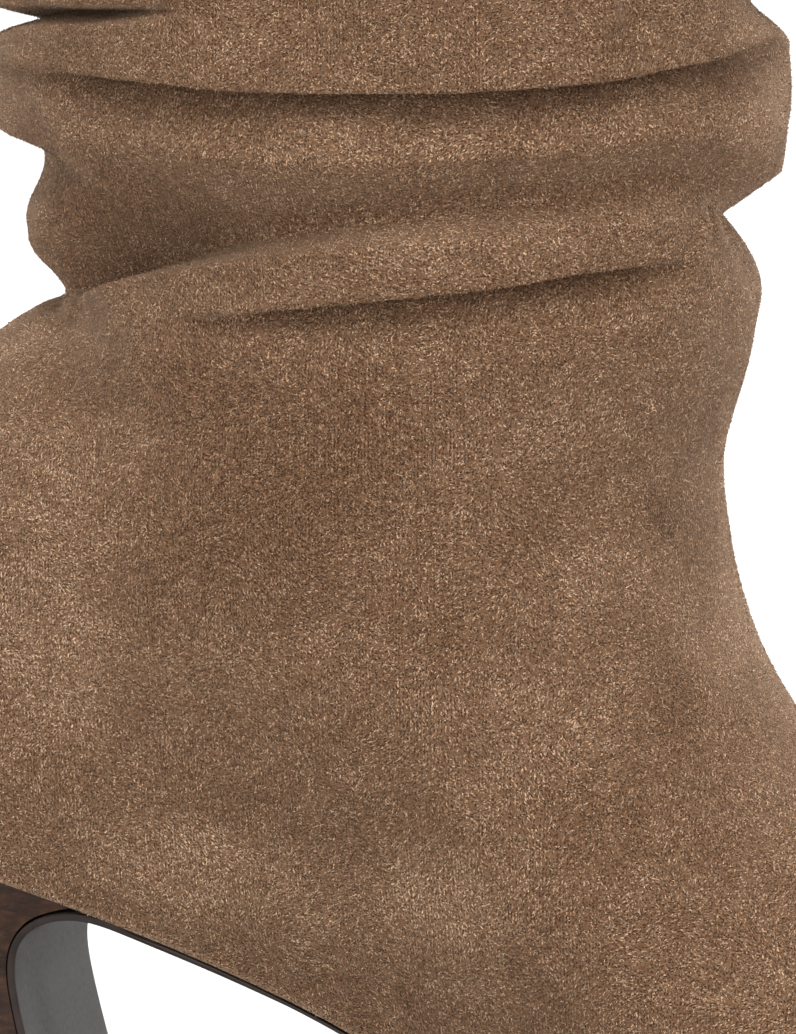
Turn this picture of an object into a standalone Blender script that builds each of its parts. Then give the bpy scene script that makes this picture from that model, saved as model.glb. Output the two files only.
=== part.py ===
"""Slouched suede ankle boot on a curved heel, for the right foot.

The boot stands on its heel and forefoot at z = 0, with the toe towards +X and the outer side of the
foot towards -Y. Sizes are in millimetres, measured from the back of the heel, and become metres when
a mesh is made.
"""

from collections import namedtuple

import bmesh
import bpy
import numpy as np

MM = 0.001

# Driving sizes of the last
LENGTH = 250.0
BALL_HALF_WIDTH = 40.0
HEEL_HEIGHT = 59.6
THROAT_HEIGHT = 111.0
TUCK_HEIGHT = 134.2
TOE_HEIGHT = 12.0
TOE_SWING = 7.0
SWING_START = 120.0

# Stations along the foot where the section table gives a half width
HEEL_STATION = 24.0
WAIST_STATION = 88.0
BALL_STATION = 160.0
TOE_TAPER = 1.4
ARCH_FADE = 1.5

# Walls, seats and gaps
WALL = 1.8
GAP = 0.3
INSOLE_THICKNESS = 2.5
INSOLE_CLEARANCE = 0.6
TOP_PIECE_HEIGHT = 6.0
TOP_PIECE_BEVEL = 0.6
BREAST_FLAP = 1.2
FLAP_CORNER = 0.15
EDGE_BULGE = 0.2

# How finely each piece is divided
LOOP_POINTS = 56
FOOT_LOOPS = 13
SHAFT_LOOPS = 26
FLAP_STATIONS = 13
HEEL_SIDE_POINTS = 12
OUTLINE_SAMPLES = 240
BREAST_SAMPLES = 80
SHARP_EDGE_DEG = 40

# Foot of the upper, one row a section loop from the feather line to the throat. x is a share of the
# length. Rises are shares of the way from the feather line to the tuck behind and to the throat in
# front. Half widths are shares of the ball's. Roundings are in mm.
FootSection = namedtuple(
    "FootSection",
    "back_x back_rise front_x front_rise heel waist_out waist_in ball_out ball_in toe round_back round_front",
)
FOOT_SECTIONS = [
    FootSection(0.000, 0.000, 1.000, 0.00, 0.62, 0.61, 0.48, 0.95, 0.88, 0.42, 26, 40),
    FootSection(-0.005, 0.108, 1.003, 0.06, 0.70, 0.70, 0.60, 1.03, 0.95, 0.46, 27, 40),
    FootSection(-0.006, 0.244, 0.984, 0.14, 0.75, 0.80, 0.72, 1.07, 1.00, 0.50, 28, 40),
    FootSection(-0.002, 0.379, 0.932, 0.21, 0.77, 0.88, 0.82, 1.09, 1.03, 0.50, 30, 40),
    FootSection(0.006, 0.501, 0.852, 0.28, 0.80, 0.93, 0.90, 1.08, 1.05, 0.50, 32, 41),
    FootSection(0.020, 0.623, 0.760, 0.36, 0.84, 0.98, 0.95, 1.07, 1.05, 0.50, 34, 42),
    FootSection(0.038, 0.725, 0.672, 0.45, 0.88, 1.02, 1.00, 1.06, 1.05, 0.50, 37, 43),
    FootSection(0.060, 0.806, 0.608, 0.54, 0.92, 1.05, 1.03, 1.05, 1.05, 0.50, 40, 44),
    FootSection(0.083, 0.874, 0.566, 0.65, 0.96, 1.06, 1.05, 1.05, 1.05, 0.50, 43, 45),
    FootSection(0.108, 0.928, 0.540, 0.77, 1.00, 1.07, 1.07, 1.07, 1.07, 0.50, 45, 46),
    FootSection(0.132, 0.969, 0.527, 0.89, 1.04, 1.08, 1.08, 1.08, 1.08, 0.50, 47, 47),
]

# Slouched shaft, one row a section loop from the throat to the collar, in mm. The lines are those of
# the fold crests, which the fold table then cuts into.
ShaftSection = namedtuple("ShaftSection", "back_x back_z front_x front_z half_width")
SHAFT_SECTIONS = [
    ShaftSection(37.2, TUCK_HEIGHT, 130.7, THROAT_HEIGHT, 43.0),
    ShaftSection(31.0, 142.0, 135.2, 129.0, 44.0),
    ShaftSection(29.0, 151.0, 137.2, 146.0, 44.5),
    ShaftSection(25.5, 164.0, 141.0, 163.0, 45.5),
    ShaftSection(24.5, 182.0, 141.5, 182.0, 46.0),
    ShaftSection(22.0, 212.0, 143.0, 212.0, 46.5),
    ShaftSection(20.0, 240.0, 145.0, 240.0, 47.5),
]

# Slouch folds, one row a trough that runs round the shaft: its height and depth at the back, the outer
# side, the front and the inner side, and how far it reaches above and below its line.
Fold = namedtuple("Fold", "back_z out_z front_z in_z back out front inside above below")
FOLDS = [
    Fold(135.0, 141.0, 144.0, 139.0, 0.0, 3.2, 0.0, 2.4, 3.5, 12.0),
    Fold(154.0, 153.0, 147.5, 151.0, 5.4, 2.6, 6.8, 3.4, 5.8, 11.0),
    Fold(167.5, 169.5, 169.0, 168.0, 2.0, 4.6, 1.6, 3.8, 4.0, 11.0),
    Fold(176.0, 178.0, 179.5, 180.0, 8.0, 0.6, 7.5, 2.0, 5.0, 5.5),
    Fold(200.0, 195.0, 201.0, 197.0, 4.0, 4.2, 4.6, 4.0, 6.0, 11.0),
    Fold(220.0, 216.0, 221.0, 218.0, 3.0, 3.6, 3.2, 3.4, 8.0, 10.0),
]
FOLD_START = 118.0
FOLD_FULL = 131.0

# Feather line from the side: where the upper meets the sole, heel seat to toe spring
BottomPoint = namedtuple("BottomPoint", "x z")
BOTTOM_LINE = [
    BottomPoint(0.0, HEEL_HEIGHT),
    BottomPoint(16.0, 56.2),
    BottomPoint(32.0, 51.8),
    BottomPoint(48.0, 46.7),
    BottomPoint(64.0, 40.9),
    BottomPoint(83.0, 32.6),
    BottomPoint(105.0, 19.8),
    BottomPoint(125.0, 10.3),
    BottomPoint(142.0, 5.6),
    BottomPoint(156.0, 4.2),
    BottomPoint(196.0, 4.2),
    BottomPoint(225.0, 6.8),
    BottomPoint(LENGTH, TOE_HEIGHT),
]

# Sole edge along the foot: how far it stands out from the feather line, how thick it is, and how far
# its lower corner is drawn in
SoleEdge = namedtuple("SoleEdge", "x stand_out thickness bevel")
SOLE_EDGES = [
    SoleEdge(46.0, -0.2, BREAST_FLAP, 0.2),
    SoleEdge(80.0, -0.4, 0.9, 0.3),
    SoleEdge(110.0, -0.4, 1.8, 1.0),
    SoleEdge(145.0, 0.5, 3.6, 1.0),
    SoleEdge(156.0, 0.9, 3.9, 0.8),
    SoleEdge(196.0, 0.9, 3.9, 0.8),
    SoleEdge(LENGTH, 0.9, 3.6, 0.8),
]

# The sole turns down the front of the heel: its inner face from the arch to the floor
BreastRow = namedtuple("BreastRow", "x z half_width")
BREAST_ROWS = [
    BreastRow(46.0, 47.1, 23.6),
    BreastRow(41.5, 47.3, 22.6),
    BreastRow(37.0, 46.4, 21.3),
    BreastRow(33.6, 44.4, 20.1),
    BreastRow(31.5, 41.6, 19.2),
    BreastRow(30.9, 38.0, 18.7),
    BreastRow(31.6, 33.2, 18.5),
    BreastRow(34.0, 23.0, 18.6),
    BreastRow(38.6, TOP_PIECE_HEIGHT + GAP, 19.2),
]

# Back of the heel block, from the seat to the top piece
HeelBackRow = namedtuple("HeelBackRow", "x z half_width")
HEEL_BACK_ROWS = [
    HeelBackRow(0.8, 59.1, 24.4),
    HeelBackRow(2.6, 53.0, 23.2),
    HeelBackRow(5.0, 44.0, 21.0),
    HeelBackRow(7.0, 33.0, 19.2),
    HeelBackRow(7.6, 21.0, 18.7),
    HeelBackRow(7.0, TOP_PIECE_HEIGHT + GAP, 19.0),
]
HEEL_TIP_X = 43.0
HEEL_BREAST_START = 0.1
HEEL_BACK_FLAT = 0.02
ARCH_START_CLEARANCE = 2.0


def curve_through(stations, values):
    """A smooth curve through a table's rows that never overshoots them, level beyond its ends."""
    x = np.asarray(stations, float)
    y = np.asarray(values, float)
    step = np.diff(x)
    rise = np.diff(y) / step
    before, after = rise[:-1], rise[1:]
    steady = before * after > 0
    weight_a = 2 * step[1:] + step[:-1]
    weight_b = step[1:] + 2 * step[:-1]
    mean = weight_a / np.where(steady, before, 1) + weight_b / np.where(steady, after, 1)
    slope = np.zeros_like(y)
    slope[1:-1] = np.where(steady, (weight_a + weight_b) / mean, 0)
    slope[0], slope[-1] = rise[0], rise[-1]

    def curve(at):
        at = np.clip(at, x[0], x[-1])
        k = np.clip(np.searchsorted(x, at, side="right") - 1, 0, len(step) - 1)
        t = (at - x[k]) / step[k]
        start = (1 + 2 * t) * y[k] + t * step[k] * slope[k]
        end = (3 - 2 * t) * y[k + 1] + (t - 1) * step[k] * slope[k + 1]
        return (1 - t) ** 2 * start + t**2 * end

    return curve


def column_curves(rows, stations):
    """A curve for each named column of a table."""
    return {name: curve_through(stations, [getattr(row, name) for row in rows]) for name in rows[0]._fields}


def smooth_step(t):
    t = np.clip(t, 0, 1)
    return t * t * (3 - 2 * t)


def round_off(t):
    """A quarter round: 0 at an edge, 1 where the full width is reached."""
    return np.sqrt(1 - (1 - np.clip(t, 0, 1)) ** 2)


bottom_height = curve_through([p.x for p in BOTTOM_LINE], [p.z for p in BOTTOM_LINE])


Section = namedtuple(
    "Section",
    "back_x back_z front_x front_z heel waist_out waist_in ball_out ball_in toe round_back round_front",
)


def upper_sections():
    """Every section row of the upper in mm, with the same columns for foot and shaft."""
    rows = []
    for foot in FOOT_SECTIONS:
        back_z = HEEL_HEIGHT + foot.back_rise * (TUCK_HEIGHT - HEEL_HEIGHT)
        front_z = TOE_HEIGHT + foot.front_rise * (THROAT_HEIGHT - TOE_HEIGHT)
        widths = [share * BALL_HALF_WIDTH for share in foot[4:10]]
        ends = (foot.back_x * LENGTH, back_z, foot.front_x * LENGTH, front_z)
        rows.append(Section(*ends, *widths, foot.round_back, foot.round_front))
    for shaft in SHAFT_SECTIONS:
        radius = np.hypot(shaft.front_x - shaft.back_x, shaft.front_z - shaft.back_z) / 2
        rows.append(Section(*shaft[:4], *[shaft.half_width] * 6, radius, radius))
    return rows


SECTION_ROWS = upper_sections()
THROAT_LEVEL = len(FOOT_SECTIONS)
COLLAR_LEVEL = len(SECTION_ROWS) - 1
SECTION = column_curves(SECTION_ROWS, range(len(SECTION_ROWS)))


def distance_to_line(x, z, line_x, line_z):
    """How far each point of the side view lies from an outline."""
    nearest = np.full(x.shape, np.inf)
    for from_x, from_z, to_x, to_z in zip(line_x, line_z, line_x[1:], line_z[1:]):
        run_x, run_z = to_x - from_x, to_z - from_z
        share = ((x - from_x) * run_x + (z - from_z) * run_z) / (run_x**2 + run_z**2)
        share = np.clip(share, 0, 1)
        apart = np.hypot(x - from_x - share * run_x, z - from_z - share * run_z)
        nearest = np.minimum(nearest, apart)
    return nearest


def full_half_width(x, level, side):
    """Half width of a section loop before its ends are rounded, along the foot."""
    heel = SECTION["heel"](level)
    waist = SECTION["waist_" + side](level)
    ball = SECTION["ball_" + side](level)
    toe = SECTION["toe"](level)
    to_waist = smooth_step((x - HEEL_STATION) / (WAIST_STATION - HEEL_STATION))
    to_ball = smooth_step((x - WAIST_STATION) / (BALL_STATION - WAIST_STATION))
    to_toe = np.clip((x - BALL_STATION) / (LENGTH - BALL_STATION), 0, 1) ** TOE_TAPER
    return heel + (waist - heel) * to_waist + (ball - waist) * to_ball + (toe - ball) * to_toe


def fold_depth(z, angle):
    """How deep the slouch folds press in, by height and by angle round the shaft from its back."""
    at_back = np.clip(np.cos(angle), 0, 1) ** 2
    at_front = np.clip(-np.cos(angle), 0, 1) ** 2
    at_out = np.clip(np.sin(angle), 0, 1) ** 2
    at_in = np.clip(-np.sin(angle), 0, 1) ** 2
    total = np.zeros(np.broadcast(z, angle).shape)
    for fold in FOLDS:
        line = fold.back_z * at_back + fold.out_z * at_out + fold.front_z * at_front + fold.in_z * at_in
        depth = fold.back * at_back + fold.out * at_out + fold.front * at_front + fold.inside * at_in
        away = z - line
        reach = np.where(away > 0, fold.above, fold.below)
        total += depth * smooth_step(1 - np.abs(away) / reach)
    return total * smooth_step((z - FOLD_START) / (FOLD_FULL - FOLD_START))


def upper_loops(levels, angles):
    """Points of the upper's outer face, a closed loop for each level. Angle 0 is the back, and the loop
    runs along the outer side to the front."""
    level = np.asarray(levels, float)[:, None]
    angle = np.asarray(angles, float)[None, :]
    along = (1 - np.cos(angle)) / 2
    back_x, front_x = SECTION["back_x"](level), SECTION["front_x"](level)
    back_z, front_z = SECTION["back_z"](level), SECTION["front_z"](level)
    x = back_x + (front_x - back_x) * along
    feather_chord = HEEL_HEIGHT + (TOE_HEIGHT - HEEL_HEIGHT) * along
    arch = bottom_height(LENGTH * along) - feather_chord
    arch_left = np.clip(1 - level / THROAT_LEVEL, 0, 1) ** ARCH_FADE
    z = back_z + (front_z - back_z) * along + arch * arch_left

    line = np.linspace(0, COLLAR_LEVEL, OUTLINE_SAMPLES)
    from_front = distance_to_line(x, z, SECTION["front_x"](line), SECTION["front_z"](line))
    from_back = distance_to_line(x, z, SECTION["back_x"](line), SECTION["back_z"](line))
    ends = round_off(from_front / SECTION["round_front"](level))
    ends = ends * round_off(from_back / SECTION["round_back"](level))
    outer = np.sin(angle) > 0
    half = np.where(outer, full_half_width(x, level, "out"), full_half_width(x, level, "in")) * ends
    swing = TOE_SWING * (np.clip(x - SWING_START, 0, None) / (LENGTH - SWING_START)) ** 2
    y = np.where(outer, -half, half)

    radius_x = (front_x - back_x) / 2
    push_x = (x - back_x - radius_x) / radius_x**2
    push_y = y / SECTION["heel"](level) ** 2
    push = fold_depth(z, angle) / np.hypot(push_x, push_y)
    return np.stack([x - push_x * push, y + swing - push_y * push, z], axis=-1)


def loop_angles(count):
    """Angles round a loop, with no point on the middle line, so that point k faces point count - 1 - k."""
    return 2 * np.pi * (np.arange(count) + 0.5) / count


def plan_offset(loop, distance):
    """The loop moved outwards in plan by a distance, which may change along it."""
    ahead = np.roll(loop, -1, axis=0)[:, :2] - np.roll(loop, 1, axis=0)[:, :2]
    outward = np.stack([-ahead[:, 1], ahead[:, 0]], axis=-1)
    outward /= np.linalg.norm(outward, axis=1)[:, None]
    centre = loop[:, :2].mean(axis=0)
    facing = np.sum(outward * (loop[:, :2] - centre), axis=1).sum()
    moved = loop.copy()
    moved[:, :2] += outward * np.sign(facing) * np.reshape(distance, (-1, 1))
    return moved


def at_bottom(loop, lift):
    """The loop laid on the bottom line, lifted by a height."""
    laid = loop.copy()
    laid[:, 2] = bottom_height(loop[:, 0]) + lift
    return laid


def breast_path(count):
    """Inner face of the sole's breast flap from the arch down to the top piece: x, z and half width."""
    corners = np.array([(row.x, row.z) for row in BREAST_ROWS])
    run = np.concatenate([[0], np.cumsum(np.linalg.norm(np.diff(corners, axis=0), axis=1))])
    curves = column_curves(BREAST_ROWS, run / run[-1])
    share = np.linspace(0, 1, count)
    return np.stack([curves["x"](share), curves["z"](share), curves["half_width"](share)], axis=-1)


def path_normals(path):
    """Directions that face out of the breast flap, in x and z."""
    along = np.gradient(path[:, :2], axis=0)
    along /= np.linalg.norm(along, axis=1)[:, None]
    return np.stack([-along[:, 1], along[:, 0]], axis=-1)


def make_object(name, mesh_code, collection, material):
    mesh = bpy.data.meshes.new(name)
    bm = bmesh.new()
    mesh_code(bm)
    bmesh.ops.recalc_face_normals(bm, faces=bm.faces)
    bm.to_mesh(mesh)
    bm.free()
    mesh.materials.append(material)
    mesh.shade_smooth()
    mesh.set_sharp_from_angle(angle=np.radians(SHARP_EDGE_DEG))
    piece = bpy.data.objects.new(name, mesh)
    collection.objects.link(piece)
    return piece


def add_loops(bm, loops, origin):
    return [[bm.verts.new((point - origin) * MM) for point in loop] for loop in loops]


def bridge_loops(bm, rings):
    """Faces between each loop and the next, all the way round."""
    for lower, upper in zip(rings, rings[1:]):
        for k in range(len(lower)):
            following = (k + 1) % len(lower)
            bm.faces.new((lower[k], lower[following], upper[following], upper[k]))


def cap_loop(bm, ring):
    """A face across a loop, in strips between the points that face each other."""
    half = len(ring) // 2
    for k in range(half - 1):
        bm.faces.new((ring[k], ring[k + 1], ring[-2 - k], ring[-1 - k]))


def closed_loft(loops, origin):
    def code(bm):
        rings = add_loops(bm, loops, origin)
        bridge_loops(bm, rings)
        cap_loop(bm, rings[0])
        cap_loop(bm, rings[-1])

    return code


def make_material(name, colour, roughness):
    material = bpy.data.materials.new(name)
    material.use_nodes = True
    shader = material.node_tree.nodes["Principled BSDF"]
    shader.inputs["Base Color"].default_value = (*colour, 1)
    shader.inputs["Roughness"].default_value = roughness
    shader.inputs["Metallic"].default_value = 0
    return material


def make_upper(collection, loops, origin):
    """One suede wall from the feather line to the collar, open at both ends."""
    suede = make_material("suede", (0.21, 0.125, 0.075), 0.95)

    def code(bm):
        bridge_loops(bm, add_loops(bm, loops, origin))

    upper = make_object("upper", code, collection, suede)
    wall = upper.modifiers.new("wall", "SOLIDIFY")
    wall.thickness = WALL * MM
    wall.offset = -1
    return upper


def outsole_loops(feather):
    """Upper face, edge and lower face of the sole, from the foot of the breast flap round the toe."""
    edge = column_curves(SOLE_EDGES, [row.x for row in SOLE_EDGES])
    x = feather[:, 0]
    stand_out = edge["stand_out"](x)
    top = at_bottom(plan_offset(feather, stand_out), -GAP)
    rim = at_bottom(plan_offset(feather, stand_out + EDGE_BULGE), -GAP)
    rim[:, 2] -= edge["thickness"](x) / 2
    tread = at_bottom(plan_offset(feather, stand_out - edge["bevel"](x)), -GAP)
    tread[:, 2] -= edge["thickness"](x)
    front = x > BREAST_ROWS[0].x + ARCH_START_CLEARANCE
    half = len(x) // 2
    outer = [k for k in range(half) if front[k]]
    inner = [k for k in range(half, len(x)) if front[k]]

    path = breast_path(FLAP_STATIONS)
    normal = path_normals(path)
    loops = []
    for face, depth, drawn_in in ((top, 0.0, 0.0), (rim, 0.5, 0.0), (tread, 1.0, FLAP_CORNER)):
        flap = np.empty((len(path), 3))
        flap[:, 0] = path[:, 0] + normal[:, 0] * BREAST_FLAP * depth
        flap[:, 1] = path[:, 2] - drawn_in
        flap[:, 2] = path[:, 1] + normal[:, 1] * BREAST_FLAP * depth
        flap[-1, 2] = BREAST_ROWS[-1].z
        outer_flap = flap[::-1] * (1, -1, 1)
        loops.append(np.concatenate([outer_flap, face[outer], face[inner], flap]))
    return loops


def heel_loops():
    """Section loops of the heel block, from the seat to the top piece, open side at the breast."""
    path = breast_path(BREAST_SAMPLES)
    inside = path[:, :2] - path_normals(path) * GAP
    rows = column_curves(HEEL_BACK_ROWS, np.linspace(0, 1, len(HEEL_BACK_ROWS)))
    turn = np.linspace(0, np.pi / 2, HEEL_SIDE_POINTS)
    loops = []
    for share in np.linspace(0, 1, FLAP_STATIONS):
        back_x, back_z, back_half = rows["x"](share), rows["z"](share), rows["half_width"](share)
        at = round((HEEL_BREAST_START + (1 - HEEL_BREAST_START) * share) * (len(path) - 1))
        front_x, front_z, front_half = inside[at, 0], inside[at, 1], path[at, 2]
        if share == 0:
            front_x = HEEL_TIP_X
        along = 1 - np.cos(turn)
        x = back_x + (front_x - back_x) * along
        z = back_z + (front_z - back_z) * along
        if share == 0:
            z = bottom_height(x) - GAP
        if share == 1:
            z = np.full(len(x), TOP_PIECE_HEIGHT + GAP)
        half = back_half + (front_half - back_half) * along
        half = half * round_off((x - back_x + HEEL_BACK_FLAT) / back_half)
        outer = np.stack([x, -half, z], axis=-1)[::-1]
        loops.append(np.concatenate([outer, outer[::-1] * (1, -1, 1)]))
    return loops


def top_piece_loops(heel_foot, flap_foot_x):
    """The wear lift under the heel block and the end of the breast flap."""
    outline = heel_foot.copy()
    outline[[0, -1], 0] = flap_foot_x
    loops = []
    for height, drawn_in in ((TOP_PIECE_HEIGHT, 0.0), (TOP_PIECE_BEVEL, 0.0), (0.0, TOP_PIECE_BEVEL)):
        loop = plan_offset(outline, -drawn_in)
        loop[:, 2] = height
        loops.append(loop)
    return loops


def insole_loops(feather):
    inset = WALL + INSOLE_CLEARANCE
    low = at_bottom(plan_offset(feather, -inset), 0.0)
    high = at_bottom(plan_offset(feather, -inset), INSOLE_THICKNESS)
    return [low, high]


def clear_scene():
    for existing in list(bpy.data.objects):
        bpy.data.objects.remove(existing, do_unlink=True)


def make_boot():
    clear_scene()
    boot = bpy.data.collections.new("slouch_boot")
    bpy.context.scene.collection.children.link(boot)

    angles = loop_angles(LOOP_POINTS)
    foot_levels = np.linspace(0, THROAT_LEVEL, FOOT_LOOPS, endpoint=False)
    shaft_levels = np.linspace(THROAT_LEVEL, COLLAR_LEVEL, SHAFT_LOOPS)
    upper = upper_loops(np.concatenate([foot_levels, shaft_levels]), angles)
    feather = upper[0]
    sole = outsole_loops(feather)
    heel = heel_loops()
    flap_foot_x = sole[2][0, 0]
    extent = np.concatenate([upper.reshape(-1, 3), *sole])
    middle = (extent.min(axis=0) + extent.max(axis=0)) / 2
    origin = np.array([middle[0], middle[1], 0.0])

    make_upper(boot, upper, origin)
    sole_finish = make_material("sole_finish", (0.045, 0.036, 0.034), 0.4)
    make_object("outsole", closed_loft(sole, origin), boot, sole_finish)
    insole_cover = make_material("insole_cover", (0.30, 0.22, 0.16), 0.7)
    make_object("insole", closed_loft(insole_loops(feather), origin), boot, insole_cover)
    heel_stack = make_material("heel_stack", (0.06, 0.035, 0.025), 0.45)
    make_object("heel", closed_loft(heel, origin), boot, heel_stack)
    lift_rubber = make_material("lift_rubber", (0.02, 0.018, 0.018), 0.7)
    lift = top_piece_loops(heel[-1], flap_foot_x)
    make_object("heel_top_piece", closed_loft(lift, origin), boot, lift_rubber)


make_boot()
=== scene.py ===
"""Looks of the slouched suede ankle boot: a napped suede upper with its slouch folds, a lining, an insole,
a thin burnished sole that turns down the breast of the heel, a stacked heel and a wear lift.

Sizes are in millimetres from the back of the heel and become metres when a mesh is made. Angles round
the upper run in degrees from the back, along the outer side of the foot, to the front at 180.
"""

from collections import namedtuple

import bpy
import numpy as np
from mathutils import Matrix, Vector


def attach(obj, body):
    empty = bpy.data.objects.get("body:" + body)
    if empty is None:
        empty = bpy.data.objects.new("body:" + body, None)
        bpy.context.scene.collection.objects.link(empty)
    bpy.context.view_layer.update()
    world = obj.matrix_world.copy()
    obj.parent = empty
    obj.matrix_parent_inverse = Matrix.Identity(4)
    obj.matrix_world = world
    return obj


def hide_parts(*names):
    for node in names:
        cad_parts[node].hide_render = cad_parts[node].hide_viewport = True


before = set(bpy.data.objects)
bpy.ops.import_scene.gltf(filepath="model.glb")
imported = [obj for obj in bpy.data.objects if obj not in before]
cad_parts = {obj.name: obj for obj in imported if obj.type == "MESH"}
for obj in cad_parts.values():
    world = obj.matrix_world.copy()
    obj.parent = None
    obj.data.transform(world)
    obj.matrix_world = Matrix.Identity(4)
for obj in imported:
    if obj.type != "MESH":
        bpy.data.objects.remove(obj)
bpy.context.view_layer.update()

MM = 0.001
# The frame's origin along the foot
ORIGIN_X = 124.58

# Driving sizes of the last
LENGTH = 250.0
BALL_HALF_WIDTH = 40.0
HEEL_HEIGHT = 59.6
THROAT_HEIGHT = 111.0
TUCK_HEIGHT = 134.2
TOE_HEIGHT = 12.0
TOE_SWING = 7.0
SWING_START = 120.0
HEEL_STATION = 24.0
WAIST_STATION = 88.0
BALL_STATION = 160.0
TOE_TAPER = 1.4
ARCH_FADE = 1.5
WALL = 1.8
OUTLINE_SAMPLES = 240

FootSection = namedtuple(
    "FootSection",
    "back_x back_rise front_x front_rise heel waist_out waist_in ball_out ball_in toe round_back round_front",
)
FOOT_SECTIONS = [
    FootSection(0.000, 0.000, 1.000, 0.00, 0.62, 0.61, 0.48, 0.95, 0.88, 0.42, 26, 40),
    FootSection(-0.005, 0.108, 1.003, 0.06, 0.70, 0.70, 0.60, 1.03, 0.95, 0.46, 27, 40),
    FootSection(-0.006, 0.244, 0.984, 0.14, 0.75, 0.80, 0.72, 1.07, 1.00, 0.50, 28, 40),
    FootSection(-0.002, 0.379, 0.932, 0.21, 0.77, 0.88, 0.82, 1.09, 1.03, 0.50, 30, 40),
    FootSection(0.006, 0.501, 0.852, 0.28, 0.80, 0.93, 0.90, 1.08, 1.05, 0.50, 32, 41),
    FootSection(0.020, 0.623, 0.760, 0.36, 0.84, 0.98, 0.95, 1.07, 1.05, 0.50, 34, 42),
    FootSection(0.038, 0.725, 0.672, 0.45, 0.88, 1.02, 1.00, 1.06, 1.05, 0.50, 37, 43),
    FootSection(0.060, 0.806, 0.608, 0.54, 0.92, 1.05, 1.03, 1.05, 1.05, 0.50, 40, 44),
    FootSection(0.083, 0.874, 0.566, 0.65, 0.96, 1.06, 1.05, 1.05, 1.05, 0.50, 43, 45),
    FootSection(0.108, 0.928, 0.540, 0.77, 1.00, 1.07, 1.07, 1.07, 1.07, 0.50, 45, 46),
    FootSection(0.132, 0.969, 0.527, 0.89, 1.04, 1.08, 1.08, 1.08, 1.08, 0.50, 47, 47),
]
ShaftSection = namedtuple("ShaftSection", "back_x back_z front_x front_z half_width")
SHAFT_SECTIONS = [
    ShaftSection(37.2, TUCK_HEIGHT, 130.7, THROAT_HEIGHT, 43.0),
    ShaftSection(31.0, 142.0, 135.2, 129.0, 44.0),
    ShaftSection(29.0, 151.0, 137.2, 146.0, 44.5),
    ShaftSection(25.5, 164.0, 141.0, 163.0, 45.5),
    ShaftSection(24.5, 182.0, 141.5, 182.0, 46.0),
    ShaftSection(22.0, 212.0, 143.0, 212.0, 46.5),
    ShaftSection(20.0, 240.0, 145.0, 240.0, 47.5),
]
BottomPoint = namedtuple("BottomPoint", "x z")
BOTTOM_LINE = [
    BottomPoint(0.0, HEEL_HEIGHT),
    BottomPoint(16.0, 56.2),
    BottomPoint(32.0, 51.8),
    BottomPoint(48.0, 46.7),
    BottomPoint(64.0, 40.9),
    BottomPoint(83.0, 32.6),
    BottomPoint(105.0, 19.8),
    BottomPoint(125.0, 10.3),
    BottomPoint(142.0, 5.6),
    BottomPoint(156.0, 4.2),
    BottomPoint(196.0, 4.2),
    BottomPoint(225.0, 6.8),
    BottomPoint(LENGTH, TOE_HEIGHT),
]

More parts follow.
